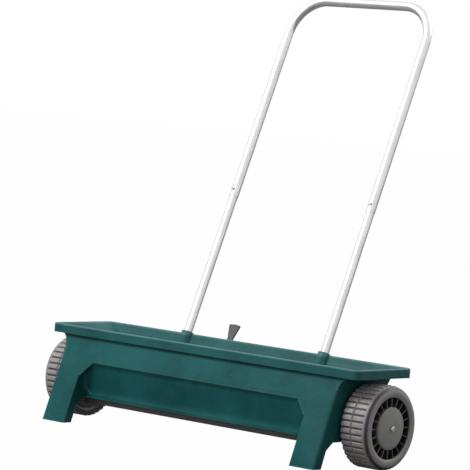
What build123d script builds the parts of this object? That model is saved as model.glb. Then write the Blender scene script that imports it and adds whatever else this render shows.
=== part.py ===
from build123d import *
import os
from math import pi, sin, cos, tan, radians, sqrt

os.makedirs("parts", exist_ok=True)

# Lawn drop spreader. Millimetres, Z up, the floor at Z 0. X runs along the hopper, the front
# with the two feet faces -Y, and the handle leans back to +Y. Lengths in Y that are named *_y
# are measured from the axle, which the whole machine is laid out around.

# Wheels
wheel_d = 170.0
wheel_w = 64.0
wheel_gap = 6.0            # end panel to tyre
tread_depth = 3.0
tyre_wall = 4.0
tread_ribs = 40            # in each of the two rows
rib_share = 0.70           # of the pitch, at the crown of a rib
inner_row_w = 23.0
ridge_w = 2.4
shoulder_w = 12.0
hub_disc_d = 86.0
ring_deep = 14.0           # from the outer face to the back of the spokes
hub_clearance = 0.1        # radial, hub on axle
ring_d = 123.0             # mouth of the open ring in the sidewall
spokes = 20
spoke_t = 1.8
hub_d = 22.0
liner_t = 2.0
running_gap = 0.08         # radial, where one piece turns on another
slip_gap = 0.05            # radial, where one piece is pushed into another
side_gap = 0.3             # beside a moving piece
tuck = 0.4                 # of the bin's front behind the front panel it is fused to

# Axle and what it carries
axle_d = 8.0
axle_end = 2.0             # past the outer face of the wheel
bush_wall = 3.0
flange_t = 2.0
flange_w = 3.5
washer_t = 1.2
drive_pin_d = 3.0
drive_pin_in = 20.0        # from the wheel's inner edge
cap_t = 1.2
rotor_core_d = 17.0
rotor_d = 44.0
rotor_fins = 6
fin_t = 3.0
rotor_segments = 8

# Hopper, one moulding
wall = 3.2
trough_half = 303.0        # trough cavity, and the inner side of each leg
leg_w = 63.0
rim_l = 820.0
rim_d = 186.0
rim_front_y = -96.0
rim_z = 200.0
rim_r = 15.0
rim_t = 3.0
rim_edge_r = 2.4
lip_h = 19.0
lip_t = 2.6
toe_y = -153.0             # front plane at the floor
front_lean = 19.7          # degrees from vertical, leaning back as it rises
rear_shoulder_y = 81.0     # outside of the rear wall under the lip
shoulder_end_x = 377.0     # outside of the end wall under the lip
bend_z = 128.0             # where the bin turns into the trough
rear_bend_y = 43.0
floor_z = 57.0             # underside of the trough floor
floor_front_y = -37.0
floor_back_y = 33.0
recess_z = 134.0           # top edge of the recess between the legs
recess_low_z = 98.0        # lower end of its slanted corners
recess_corner = 32.0
skirt_y = -92.0            # outside of the trough's front skirt at its bottom
skirt_bend_z = 74.0
frame_w = 9.0              # raised border of the skirt
frame_t = 2.0
frame_r = 10.0
skirt_ribs = 5
rib_t = 2.4
foot_depth = 24.0
sole_t = 14.0
panel_z = 52.0             # lower edge of the end panels behind the feet
leg_edge_r = 6.0
leg_inner_r = 3.0
corner_r = 8.0             # inside corners of the trough
rim_wall = 3.4             # width of the rim's top edge

# Drop slots, metering slide and its rails
slot_pitch = 34.0
slot_l = 10.0
slot_w = 5.0
slide_w = 48.0
slide_t = 3.0
slide_travel = 9.0
rail_t = 3.0
rail_lap = 4.0             # of a rail under the slide
front_rail_h = 11.0        # turned-down front edge, seen as the dark strip
rail_screw_d = 3.5
rail_screw_head = 7.0
rail_screws_per_rail = 5

# Handle
handle_lean = 21.5         # degrees from vertical
handle_y = 86.0            # tube centre at the height of the rim
handle_half = 185.0        # tube centre from the middle
handle_l = 787.0           # rim to the centre of the top bar, along the tube
bend_r = 80.0
upper_d = 20.0
tube_wall = 0.75
upper_end = 317.0          # lower end of the upper tube, from the rim
button_at = 333.0
lower_top = 366.0
socket_deep = 54.0
socket_wall = 4.2
socket_rise = 3.0
socket_floor = 5.0
socket_screw_at = -30.0
socket_screw_d = 4.0
socket_screw_head = 8.0
button_d = 7.0
button_out = 2.6
button_travel = 3.6
button_flange = 10.0
button_hole_gap = 0.3
leaf_t = 0.6
leaf_w = 6.0
leaf_l = 46.0

# Rate lever
lever_x = -80.0
lever_y = 103.0            # lever plane at the height of the rim
lever_lean = 24.0
lever_t = 4.0
lever_w = 14.0
lever_pivot_z = 110.0
lever_peg_z = 66.0
lever_eye_d = 20.0
paddle_z = 229.0
paddle_w = 29.0
paddle_l = 30.0
pivot_d = 6.0
peg_d = 5.0
peg_gap = 0.2
ear_t = 3.0
tab_w = 22.0
boss_d = 16.0
pivot_thread_d = 5.0
pivot_thread_l = 16.0
ear_up = 9.0

# Worked out from the sizes above
wheel_r = wheel_d / 2
end_x = trough_half + leg_w
wheel_in = end_x + wheel_gap
wheel_out = wheel_in + wheel_w
lower_d = upper_d - 2 * tube_wall - 2 * 0.1
front_slope = tan(radians(front_lean))
handle_back_y = handle_y + handle_l * sin(radians(handle_lean)) + upper_d / 2
axle_y = -(toe_y + handle_back_y) / 2   # puts the origin under the middle of the whole box
rim_mid_y = rim_front_y + rim_d / 2
rim_back_y = rim_front_y + rim_d
lip_z = rim_z - lip_h
slide_top = floor_z - side_gap
slide_bottom = slide_top - slide_t
rail_top = slide_bottom - side_gap
channel_half = slide_w / 2 + side_gap
slide_half = trough_half - slide_travel - 3 * side_gap
rail_half = trough_half - side_gap
slots = int((2 * slide_half - 2 * slide_travel - slot_l) // slot_pitch)
bush_d = axle_d + 2 * bush_wall
rib_places = [
    (k - (skirt_ribs - 1) / 2) * 2 * trough_half / (skirt_ribs + 1) for k in range(skirt_ribs)
]
rail_screw_places = [
    (k - (rail_screws_per_rail - 1) / 2) * 2 * trough_half / rail_screws_per_rail
    for k in range(rail_screws_per_rail)
]
front_screw_y = (floor_front_y - channel_half) / 2
rear_screw_y = (floor_back_y + channel_half) / 2
rotor_half = trough_half - 5 * side_gap
segment_l = 2 * rotor_half / rotor_segments
pin_x = wheel_in + drive_pin_in
tread_base_r = wheel_r - tread_depth
shoulder_x = wheel_out - shoulder_w
ridge_x = wheel_in + inner_row_w + ridge_w / 2
ring_floor_x = wheel_out - ring_deep
hub_in_x = end_x + flange_t + washer_t + 2 * side_gap
rib_pitch = 2 * pi * wheel_r / tread_ribs
rib_crown = rib_pitch * rib_share
rib_foot = rib_crown + 2.0
liner_r = tread_base_r - tyre_wall - slip_gap
liner_l = wheel_w - ring_deep - 8
cap_r = axle_d / 2 + cap_t
button_flange_t = 1.2
button_seat = sqrt((lower_d / 2 - tube_wall) ** 2 - (button_flange / 2) ** 2) - side_gap
lever_tan = tan(radians(lever_lean))
lever_cos = cos(radians(lever_lean))
lever_axis = (0, lever_cos, -sin(radians(lever_lean)))
pivot_along = (lever_pivot_z - rim_z) / lever_cos
peg_along = (lever_peg_z - rim_z) / lever_cos
paddle_top = (paddle_z - rim_z) / lever_cos
paddle_foot = paddle_top - paddle_l
ear_ahead = lever_t / 2 + side_gap
pivot_y = lever_y - (rim_z - lever_pivot_z) * lever_tan
rear_slope = (rear_bend_y - floor_back_y) / (bend_z - floor_z)
boss_reach = pivot_y - floor_back_y - (lever_pivot_z - floor_z) * rear_slope
boss_l = boss_reach / (lever_cos + rear_slope * sin(radians(lever_lean))) - ear_ahead + wall / 2
ear_foot_y = lever_y - (rim_z - slide_top) * lever_tan - ear_ahead / lever_cos
ear_down = (lever_peg_z - slide_bottom) / lever_cos


def front_y(z):
    """Outside of the sloping front at height z."""
    return toe_y + z * front_slope


def level(z, y=0.0):
    """Horizontal plane at height z, with its origin y behind the axle."""
    return Plane(origin=(0, axle_y + y, z))


def side(x):
    """Upright plane across the machine at x: local X runs back from the axle, local Y is up."""
    return Plane(origin=(x, axle_y, 0), x_dir=(0, 1, 0), z_dir=(1, 0, 0))


def hub_plane(x):
    """The same plane with its origin on the axle."""
    return Plane(origin=(x, axle_y, wheel_r), x_dir=(0, 1, 0), z_dir=(1, 0, 0))


def outline(z, half_x, y_front, y_back, radius):
    """Rounded outline of the bin or trough at height z."""
    with BuildSketch(level(z, (y_front + y_back) / 2)) as ring:
        RectangleRounded(2 * half_x, y_back - y_front, radius)
    return ring.sketch


def leaning(x, y, z, lean, along=0.0):
    """Plane square to a line that leans back: its origin lies along the line from (x, y, z)."""
    a = radians(lean)
    return Plane(
        origin=(x, axle_y + y + along * sin(a), z + along * cos(a)),
        x_dir=(1, 0, 0),
        z_dir=(0, sin(a), cos(a)),
    )


def facing(x, y, z, lean, along=0.0, ahead=0.0):
    """Plane that holds such a line, seen from behind and below: local Y points down the line."""
    a = radians(lean)
    return Plane(
        origin=(
            x,
            axle_y + y + along * sin(a) - ahead * cos(a),
            z + along * cos(a) + ahead * sin(a),
        ),
        x_dir=(1, 0, 0),
        z_dir=(0, cos(a), -sin(a)),
    )


def along_tube(along, ahead):
    """Point in the upright plane of a handle tube: along it from the rim, and ahead of its centre."""
    a = radians(handle_lean)
    return (handle_y + along * sin(a) - ahead * cos(a), rim_z + along * cos(a) + ahead * sin(a))


leaf_front = button_seat - button_flange_t
leaf_back = -(lower_d / 2 - tube_wall) + 0.6
leaf_path = [
    along_tube(button_at + 5, leaf_front),
    along_tube(button_at + 5, leaf_front - leaf_t),
    along_tube(button_at - leaf_l + 2.5, leaf_t / 2),
    along_tube(button_at - leaf_l + 2.5, -leaf_t / 2),
    along_tube(button_at + 2, leaf_back + leaf_t),
    along_tube(button_at + 2, leaf_back),
    along_tube(button_at - leaf_l, -2 * leaf_t),
    along_tube(button_at - leaf_l, 2 * leaf_t),
    along_tube(button_at - 5, leaf_front),
]

axle_line = Axis((0, axle_y, wheel_r), (1, 0, 0))
turning = Plane(origin=(0, axle_y, wheel_r), x_dir=(1, 0, 0), z_dir=(0, -1, 0))

# Hopper: rim with a turned-down lip, bin, narrower trough, two hollow legs, end panels,
# ribbed front skirt, axle tubes, handle sockets and the lever's boss, all one moulding.

# Air in front of the skirt inside its raised border
with BuildPart() as skirt_panel:
    with BuildSketch(side(-trough_half)):
        with BuildLine():
            Polyline(
                (front_y(recess_z) - frame_t, recess_z),
                (skirt_y - frame_t, skirt_bend_z),
                (skirt_y - frame_t, rail_top),
                (skirt_y, rail_top),
                (skirt_y, skirt_bend_z),
                (front_y(recess_z), recess_z),
                close=True,
            )
        make_face()
    extrude(amount=2 * trough_half)
    panel_top = recess_z + frame_r
    panel_low = rail_top + frame_w
    with BuildSketch(Plane(origin=(0, axle_y, (panel_top + panel_low) / 2), x_dir=(1, 0, 0), z_dir=(0, -1, 0))):
        RectangleRounded(2 * (trough_half - frame_w), panel_top - panel_low, frame_r)
    extrude(amount=-toe_y, mode=Mode.INTERSECT)

front_plane = Plane(
    origin=(0, axle_y + toe_y, 0),
    x_dir=(1, 0, 0),
    z_dir=(0, -cos(radians(front_lean)), sin(radians(front_lean))),
)
up_front = 1 / cos(radians(front_lean))

# One leg with its end panel, a hollow channel open behind and closed by a sole
with BuildPart() as right_leg:
    with BuildSketch(side(trough_half)):
        with BuildLine():
            Polyline(
                (toe_y, 0),
                (toe_y + foot_depth, 0),
                (toe_y + foot_depth + 12, 0.7 * panel_z),
                (toe_y + foot_depth + 32, panel_z),
                (floor_back_y, panel_z),
                (rear_bend_y, bend_z),
                (rear_shoulder_y, lip_z),
                (front_y(lip_z), lip_z),
                close=True,
            )
        make_face()
    extrude(amount=leg_w)
    front_edges = right_leg.edges().filter_by(Axis((0, 0, 0), (0, front_slope, 1))).sort_by(Axis.X)
    fillet(front_edges[-1], leg_edge_r)
    front_edges = right_leg.edges().filter_by(Axis((0, 0, 0), (0, front_slope, 1))).sort_by(Axis.X)
    fillet(front_edges[0], leg_inner_r)
    with BuildSketch(side(trough_half + wall)):
        with BuildLine():
            Polyline(
                (front_y(sole_t) + wall * up_front, sole_t),
                (rear_shoulder_y + wall, sole_t),
                (rear_shoulder_y + wall, lip_z + wall),
                (front_y(lip_z + wall) + wall * up_front, lip_z + wall),
                close=True,
            )
        make_face()
    extrude(amount=leg_w - 2 * wall, mode=Mode.SUBTRACT)

with BuildPart() as hopper:
    # Rim
    with BuildSketch(level(lip_z, rim_mid_y)):
        RectangleRounded(rim_l, rim_d, rim_r)
    extrude(amount=lip_h)
    fillet(hopper.edges().group_by(Axis.Z)[-1], rim_edge_r)
    with BuildSketch(level(lip_z, rim_mid_y)):
        RectangleRounded(rim_l - 2 * lip_t, rim_d - 2 * lip_t, rim_r - lip_t)
    extrude(amount=lip_h - rim_t, mode=Mode.SUBTRACT)

    # Legs and end panels
    add(right_leg.part)
    mirror(right_leg.part, about=Plane.YZ)

    # Front panel above the recess, with slanted lower corners
    with BuildSketch(front_plane):
        with BuildLine():
            Polyline(
                (-trough_half - leg_inner_r, recess_low_z * up_front),
                (-trough_half, recess_low_z * up_front),
                (-trough_half + recess_corner, recess_z * up_front),
                (trough_half - recess_corner, recess_z * up_front),
                (trough_half, recess_low_z * up_front),
                (trough_half + leg_inner_r, recess_low_z * up_front),
                (trough_half + leg_inner_r, (rim_z - rim_t) * up_front),
                (-trough_half - leg_inner_r, (rim_z - rim_t) * up_front),
                close=True,
            )
        make_face()
    extrude(amount=-wall)

    # Front skirt of the trough with its raised border, and the ribs behind it
    with BuildSketch(side(-trough_half)):
        with BuildLine():
            Polyline(
                (front_y(recess_z) + 1, recess_z + 1),
                (skirt_y - frame_t, skirt_bend_z),
                (skirt_y - frame_t, rail_top),
                (skirt_y + wall, rail_top),
                (skirt_y + wall, skirt_bend_z),
                (front_y(recess_z) + 2 * wall, recess_z + 1),
                close=True,
            )
        make_face()
    extrude(amount=2 * trough_half)
    add(skirt_panel.part, mode=Mode.SUBTRACT)
    for rib_x in rib_places:
        with BuildSketch(side(rib_x - rib_t / 2)):
            with BuildLine():
                Polyline(
                    (skirt_y + 1, rail_top),
                    (floor_front_y + 1, rail_top),
                    (floor_front_y + 1, floor_z + 1),
                    (front_y(bend_z) + wall, bend_z),
                    (skirt_y + 1, skirt_bend_z),
                    close=True,
                )
            make_face()
        extrude(amount=rib_t)

    # Bin and trough, outside
    flare_low = outline(lip_z, shoulder_end_x, front_y(lip_z) + tuck, rear_shoulder_y, rim_r)
    flare_top = outline(rim_z - rim_t, rim_l / 2 - 1, rim_front_y + 1, rim_back_y - 1, rim_r)
    bin_low = outline(bend_z, trough_half + wall, front_y(bend_z) + tuck, rear_bend_y, corner_r + wall)
    loft(sections=[flare_low, flare_top], ruled=True)
    loft(sections=[bin_low, flare_low], ruled=True)
    trough_top = outline(bend_z, trough_half + 1, front_y(bend_z) + tuck, rear_bend_y, corner_r + wall)
    trough_low = outline(floor_z, trough_half + 1, floor_front_y, floor_back_y, corner_r)
    loft(sections=[trough_low, trough_top], ruled=True)

    # Channel for the metering slide under the floor
    for y_from, y_to in ((floor_front_y, -channel_half), (channel_half, floor_back_y)):
        with BuildSketch(level(rail_top, (y_from + y_to) / 2)):
            Rectangle(2 * trough_half + 2, y_to - y_from)
        extrude(amount=floor_z - rail_top + 1)

    # Boss that carries the rate lever
    with BuildSketch(facing(lever_x, lever_y, rim_z, lever_lean, pivot_along, lever_t / 2 + side_gap)):
        Circle(boss_d / 2)
    extrude(amount=-boss_l)

    # Tubes that hold the axle bushes between the two walls of each end
    for x_from in (trough_half, -end_x):
        with BuildSketch(hub_plane(x_from)):
            Circle(bush_d / 2 + wall)
        extrude(amount=leg_w)

    # Bin and trough, inside
    mouth = outline(rim_z, rim_l / 2 - rim_wall, rim_front_y + rim_wall, rim_back_y - rim_wall, rim_r - rim_wall)
    neck = outline(lip_z, shoulder_end_x - wall, front_y(lip_z) + wall, rear_shoulder_y - wall, rim_r - wall)
    waist = outline(bend_z, trough_half, front_y(bend_z) + wall * up_front, rear_bend_y - wall, corner_r)
    bottom = outline(floor_z + wall, trough_half, floor_front_y + wall, floor_back_y - wall, corner_r)
    loft(sections=[neck, mouth], ruled=True, mode=Mode.SUBTRACT)
    loft(sections=[waist, neck], ruled=True, mode=Mode.SUBTRACT)
    loft(sections=[bottom, waist], ruled=True, mode=Mode.SUBTRACT)

    # Handle sockets, half round inside the rear wall
    for x in (-handle_half, handle_half):
        with BuildSketch(leaning(x, handle_y, rim_z, handle_lean, -socket_deep - socket_floor)):
            Circle(lower_d / 2 + socket_wall)
        extrude(amount=socket_deep + socket_floor + socket_rise)
        with BuildSketch(leaning(x, handle_y, rim_z, handle_lean, -socket_deep)):
            Circle(lower_d / 2 + slip_gap)
        extrude(amount=socket_deep + socket_rise, mode=Mode.SUBTRACT)
        with BuildSketch(facing(x, handle_y, rim_z, handle_lean, socket_screw_at)):
            Circle(socket_screw_d / 2 + slip_gap)
        extrude(amount=lower_d / 2 + socket_wall + wall, mode=Mode.SUBTRACT)

    # Bores for the axle bushes
    for x_from in (trough_half - wall, -end_x - wall):
        with BuildSketch(hub_plane(x_from)):
            Circle(bush_d / 2 + slip_gap)
        extrude(amount=leg_w + 2 * wall, mode=Mode.SUBTRACT)

    # Drop slots
    with BuildSketch(level(floor_z - wall)):
        with GridLocations(slot_pitch, 0, slots, 1):
            Rectangle(slot_l, slot_w)
    extrude(amount=3 * wall, mode=Mode.SUBTRACT)

    # Notch that lets the slide's tab through the rear of its channel and stops it at both ends
    with BuildSketch(level(rail_top - 1, floor_back_y)):
        with Locations((lever_x - slide_travel / 2, 0)):
            Rectangle(tab_w + slide_travel + 2 * side_gap, 2 * (floor_back_y - channel_half) + 1)
    extrude(amount=floor_z - rail_top + 1, mode=Mode.SUBTRACT)

    # Screw holes in the boss, and in the channel for the rails
    with BuildSketch(facing(lever_x, lever_y, rim_z, lever_lean, pivot_along, lever_t / 2)):
        Circle(pivot_thread_d / 2 + slip_gap)
    extrude(amount=-pivot_thread_l, mode=Mode.SUBTRACT)
    for y in (front_screw_y, rear_screw_y):
        with BuildSketch(level(rail_top - 1, y)):
            with Locations(*[(x, 0) for x in rail_screw_places]):
                Circle(rail_screw_d / 2 + slip_gap)
        extrude(amount=floor_z - rail_top + 1, mode=Mode.SUBTRACT)
hopper.part.label = "hopper"
export_step(hopper.part, "parts/hopper.step")

# Rails under the slide: a steel angle in front, a flat strip behind
with BuildPart() as front_rail:
    with BuildSketch(side(-rail_half)):
        with BuildLine():
            Polyline(
                (skirt_y, rail_top),
                (-slide_w / 2 + rail_lap, rail_top),
                (-slide_w / 2 + rail_lap, rail_top - rail_t),
                (skirt_y + rail_t, rail_top - rail_t),
                (skirt_y + rail_t, rail_top - front_rail_h),
                (skirt_y, rail_top - front_rail_h),
                close=True,
            )
        make_face()
    extrude(amount=2 * rail_half)
    with BuildSketch(level(rail_top, front_screw_y)):
        with Locations(*[(x, 0) for x in rail_screw_places]):
            Circle(rail_screw_d / 2 + slip_gap)
    extrude(amount=-rail_t, mode=Mode.SUBTRACT)
front_rail.part.label = "front_rail"
export_step(front_rail.part, "parts/front_rail.step")

with BuildPart() as rear_rail:
    with BuildSketch(level(rail_top - rail_t, (slide_w / 2 - rail_lap + floor_back_y) / 2)):
        Rectangle(2 * rail_half, floor_back_y - slide_w / 2 + rail_lap)
    extrude(amount=rail_t)
    with BuildSketch(level(rail_top, rear_screw_y)):
        with Locations(*[(x, 0) for x in rail_screw_places]):
            Circle(rail_screw_d / 2 + slip_gap)
    extrude(amount=-rail_t, mode=Mode.SUBTRACT)
rear_rail.part.label = "rear_rail"
export_step(rear_rail.part, "parts/rear_rail.step")

with BuildPart() as rail_screws:
    for y in (front_screw_y, rear_screw_y):
        with BuildSketch(level(rail_top - rail_t, y)):
            with Locations(*[(x, 0) for x in rail_screw_places]):
                Circle(rail_screw_d / 2)
        extrude(amount=rail_t + floor_z - rail_top - side_gap)
        with BuildSketch(level(rail_top - rail_t, y)):
            with Locations(*[(x, 0) for x in rail_screw_places]):
                Circle(rail_screw_head / 2)
        extrude(amount=-rail_t)
    heads = rail_screws.edges().filter_by(GeomType.CIRCLE).group_by(Axis.Z)[0]
    fillet(heads, 0.8)
rail_screws.part.label = "rail_screws"
export_step(rail_screws.part, "parts/rail_screws.step")

# Metering slide: a slotted plate with a tab and an upturned ear that the lever's peg moves.
# At rest its slots stand one travel to the right of those in the floor, so the floor is closed.
with BuildPart() as metering_slide:
    with BuildSketch(level(slide_bottom)):
        Rectangle(2 * slide_half, slide_w)
        with Locations((lever_x, (slide_w / 2 + ear_foot_y) / 2)):
            Rectangle(tab_w, ear_foot_y - slide_w / 2 + 1)
        with Locations((slide_travel, 0)):
            with GridLocations(slot_pitch, 0, slots, 1):
                Rectangle(slot_l, slot_w, mode=Mode.SUBTRACT)
    extrude(amount=slide_t)
    with BuildSketch(facing(lever_x, lever_y, rim_z, lever_lean, peg_along, ear_ahead)):
        with Locations((0, -ear_up / 2 + ear_down / 2)):
            RectangleRounded(tab_w, ear_up + ear_down, 3)
        SlotCenterToCenter(peg_d, peg_d + 2 * peg_gap, rotation=90, mode=Mode.SUBTRACT)
    extrude(amount=-ear_t)
    chamfer(metering_slide.edges().filter_by(Axis.Z).sort_by(Axis.X)[-2:], 3)
metering_slide.part.label = "metering_slide"
export_step(metering_slide.part, "parts/metering_slide.step")

# Rate lever: a flat bar with a flared paddle above the rim, an eye on the pivot and a peg below
with BuildPart() as rate_lever:
    with BuildSketch(facing(lever_x, lever_y, rim_z, lever_lean, 0, lever_t / 2)):
        with BuildLine():
            Polyline(
                (-lever_w / 2, -paddle_foot),
                (-lever_w / 2, -pivot_along),
                (lever_w / 2, -pivot_along),
                (lever_w / 2, -paddle_foot),
                (paddle_w / 2, -paddle_top),
                (0, -paddle_top - 1.5),
                (-paddle_w / 2, -paddle_top),
                close=True,
            )
        make_face()
        with BuildLine():
            Polyline(
                (-lever_w / 2, -pivot_along),
                (-lever_w / 2 + 2, -peg_along),
                (lever_w / 2 - 2, -peg_along),
                (lever_w / 2, -pivot_along),
                close=True,
            )
        make_face()
        with Locations((0, -pivot_along)):
            Circle(lever_eye_d / 2)
        with Locations((0, -peg_along)):
            Circle(lever_w / 2 - 2)
    extrude(amount=lever_t)
    fillet(rate_lever.edges().filter_by(Axis((0, 0, 0), lever_axis)).sort_by(Axis.Z)[-3:], 2)
    with BuildSketch(facing(lever_x, lever_y, rim_z, lever_lean, pivot_along, lever_t / 2)):
        Circle(pivot_d / 2 + running_gap)
    extrude(amount=lever_t, mode=Mode.SUBTRACT)
    with BuildSketch(facing(lever_x, lever_y, rim_z, lever_lean, peg_along, lever_t / 2)):
        Circle(peg_d / 2)
    extrude(amount=-(ear_t + 2 * side_gap))
rate_lever.part.label = "rate_lever"
export_step(rate_lever.part, "parts/rate_lever.step")

# Shoulder screw and washer of the lever
with BuildPart() as lever_washer:
    with BuildSketch(facing(lever_x, lever_y, rim_z, lever_lean, pivot_along, -lever_t / 2 - side_gap)):
        Circle(lever_w / 2)
        Circle(pivot_d / 2 + slip_gap, mode=Mode.SUBTRACT)
    extrude(amount=washer_t)
lever_washer.part.label = "lever_washer"
export_step(lever_washer.part, "parts/lever_washer.step")

with BuildPart() as lever_screw:
    with BuildSketch(facing(lever_x, lever_y, rim_z, lever_lean, pivot_along, lever_t / 2 + side_gap)):
        Circle(pivot_d / 2)
    extrude(amount=lever_t + 2 * side_gap + washer_t)
    with BuildSketch(facing(lever_x, lever_y, rim_z, lever_lean, pivot_along, -lever_t / 2 - side_gap - washer_t)):
        Circle(pivot_d / 2 + 3)
    extrude(amount=3)
    with BuildSketch(facing(lever_x, lever_y, rim_z, lever_lean, pivot_along, lever_t / 2 + side_gap)):
        Circle(pivot_thread_d / 2)
    extrude(amount=-pivot_thread_l + 2)
lever_screw.part.label = "lever_screw"
export_step(lever_screw.part, "parts/lever_screw.step")

# Axle bushes, one flanged bush through each end of the hopper
with BuildPart() as right_axle_bush:
    with BuildSketch(hub_plane(trough_half)):
        Circle(bush_d / 2)
    extrude(amount=leg_w)
    with BuildSketch(hub_plane(end_x)):
        Circle(bush_d / 2 + flange_w)
    extrude(amount=flange_t)
    with BuildSketch(hub_plane(trough_half)):
        Circle(axle_d / 2 + running_gap)
    extrude(amount=leg_w + flange_t, mode=Mode.SUBTRACT)
right_axle_bush.part.label = "right_axle_bush"
export_step(right_axle_bush.part, "parts/right_axle_bush.step")

with BuildPart() as left_axle_bush:
    mirror(right_axle_bush.part, about=Plane.YZ)
left_axle_bush.part.label = "left_axle_bush"
export_step(left_axle_bush.part, "parts/left_axle_bush.step")

# Thrust washers between the bush flanges and the wheel hubs
with BuildPart() as axle_washers:
    for x_from in (end_x + flange_t + side_gap, -end_x - flange_t - side_gap - washer_t):
        with BuildSketch(hub_plane(x_from)):
            Circle(hub_d / 2)
            Circle(axle_d / 2 + running_gap, mode=Mode.SUBTRACT)
        extrude(amount=washer_t)
axle_washers.part.label = "axle_washers"
export_step(axle_washers.part, "parts/axle_washers.step")

# Axle, with a cross hole for the drive pin in the right wheel
with BuildPart() as axle:
    with BuildSketch(hub_plane(-wheel_out - axle_end)):
        Circle(axle_d / 2)
    extrude(amount=2 * (wheel_out + axle_end))
    chamfer(axle.edges().filter_by(GeomType.CIRCLE), 0.6)
    with BuildSketch(level(wheel_r)):
        with Locations((pin_x, 0)):
            Circle(drive_pin_d / 2 + slip_gap)
    extrude(amount=axle_d, both=True, mode=Mode.SUBTRACT)
axle.part.label = "axle"
export_step(axle.part, "parts/axle.step")

# Feed rotor: finned segments, every second one turned by half a pitch
with BuildPart() as feed_rotor:
    with BuildSketch(hub_plane(-rotor_half)):
        Circle(rotor_core_d / 2)
    extrude(amount=2 * rotor_half)
    for k in range(rotor_segments):
        turn = 180 / rotor_fins * (k % 2)
        with BuildSketch(hub_plane(-rotor_half + k * segment_l)):
            with PolarLocations(rotor_d / 4, rotor_fins, start_angle=turn):
                Rectangle(rotor_d / 2, fin_t)
        extrude(amount=segment_l)
    with BuildSketch(hub_plane(-rotor_half)):
        Circle(axle_d / 2 + slip_gap)
    extrude(amount=2 * rotor_half, mode=Mode.SUBTRACT)
feed_rotor.part.label = "feed_rotor"
export_step(feed_rotor.part, "parts/feed_rotor.step")

# Wheel, one moulding: two rows of tread ribs parted by a thin ridge, a smooth rounded
# shoulder, a ring of thin spokes round a domed hub disc, and a hub
with BuildPart() as right_wheel:
    with BuildSketch(turning):
        with BuildLine():
            Polyline(
                (shoulder_x, wheel_r - 1),
                (shoulder_x, tread_base_r),
                (wheel_in, tread_base_r),
                (wheel_in, tread_base_r - tyre_wall),
                (shoulder_x + 1, tread_base_r - tyre_wall),
                (wheel_out - tyre_wall - 3, ring_d / 2 + tyre_wall + 5),
                (wheel_out - tyre_wall - 2, ring_d / 2 + tyre_wall),
                (ring_floor_x, ring_d / 2 + tyre_wall),
                (ring_floor_x, ring_d / 2),
                (wheel_out - 3, ring_d / 2),
            )
            ThreePointArc(
                (wheel_out - 3, ring_d / 2),
                (wheel_out, ring_d / 2 + 5),
                (wheel_out - 2, wheel_r - 11),
            )
            ThreePointArc(
                (wheel_out - 2, wheel_r - 11),
                (shoulder_x + 0.62 * shoulder_w, wheel_r - 3.0),
                (shoulder_x, wheel_r - 1),
            )
        make_face()
        # Hub and domed disc
        with BuildLine():
            Polyline(
                (wheel_out - 4, hub_disc_d / 2),
                (ring_floor_x, hub_disc_d / 2),
                (ring_floor_x, hub_disc_d / 2 - 2.5),
                (wheel_out - 6, hub_disc_d / 2 - 2.5),
                (wheel_out - 5, hub_d / 2),
                (hub_in_x, hub_d / 2),
                (hub_in_x, axle_d / 2 + hub_clearance),
                (wheel_out - 0.5, axle_d / 2 + hub_clearance),
            )
            ThreePointArc(
                (wheel_out - 0.5, axle_d / 2 + hub_clearance),
                (wheel_out - 1.4, hub_disc_d / 4),
                (wheel_out - 4, hub_disc_d / 2),
            )
        make_face()
        # Ridge between the two rows of ribs
        with Locations((ridge_x, tread_base_r + (tread_depth + 0.3) / 2 - 0.5)):
            Rectangle(ridge_w, tread_depth + 0.7)
    revolve(axis=axle_line)
    for row_x, row_w in ((wheel_in, inner_row_w), (ridge_x + ridge_w / 2, shoulder_x - ridge_x - ridge_w / 2)):
        with BuildSketch(hub_plane(row_x)):
            with PolarLocations(tread_base_r - 1, tread_ribs):
                Polygon(
                    (0, -rib_foot / 2),
                    (tread_depth + 0.9, -rib_crown / 2),
                    (tread_depth + 0.9, rib_crown / 2),
                    (0, rib_foot / 2),
                    align=None,
                )
        extrude(amount=row_w)
    with BuildSketch(hub_plane(ring_floor_x)):
        with PolarLocations((hub_disc_d + ring_d) / 4, spokes):
            Rectangle((ring_d - hub_disc_d) / 2 + 2, spoke_t)
    extrude(amount=wheel_out - 5 - ring_floor_x)
    with BuildSketch(level(wheel_r)):
        with Locations((pin_x, 0)):
            Circle(drive_pin_d / 2 + slip_gap)
    extrude(amount=hub_d, both=True, mode=Mode.SUBTRACT)
right_wheel.part.label = "right_wheel"
export_step(right_wheel.part, "parts/right_wheel.step")

# The left wheel turns freely on the axle, so its hub has no pin hole
with BuildPart() as left_wheel:
    mirror(right_wheel.part, about=Plane.YZ)
    with BuildSketch(hub_plane(-pin_x - drive_pin_d)):
        Circle(hub_d / 2 - 1)
        Circle(axle_d / 2 + hub_clearance, mode=Mode.SUBTRACT)
    extrude(amount=2 * drive_pin_d)
left_wheel.part.label = "left_wheel"
export_step(left_wheel.part, "parts/left_wheel.step")

# Dark inner dish of the wheel, seen between the spokes and from the inner side
with BuildPart() as right_wheel_liner:
    with BuildSketch(turning):
        with BuildLine():
            Polyline(
                (wheel_in + 2, hub_d / 2 + slip_gap),
                (wheel_in + 2, hub_d / 2 + 5),
                (wheel_in + 5, hub_d / 2 + 8),
                (wheel_in + 5, liner_r - 9),
                (wheel_in + 1, liner_r - 5),
                (wheel_in + 1, liner_r),
                (wheel_in + liner_l, liner_r),
                (wheel_in + liner_l, liner_r - liner_t),
                (wheel_in + 5 + liner_t, liner_r - liner_t),
                (wheel_in + 5 + liner_t, hub_d / 2 + slip_gap),
                close=True,
            )
        make_face()
    revolve(axis=axle_line)
right_wheel_liner.part.label = "right_wheel_liner"
export_step(right_wheel_liner.part, "parts/right_wheel_liner.step")

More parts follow.
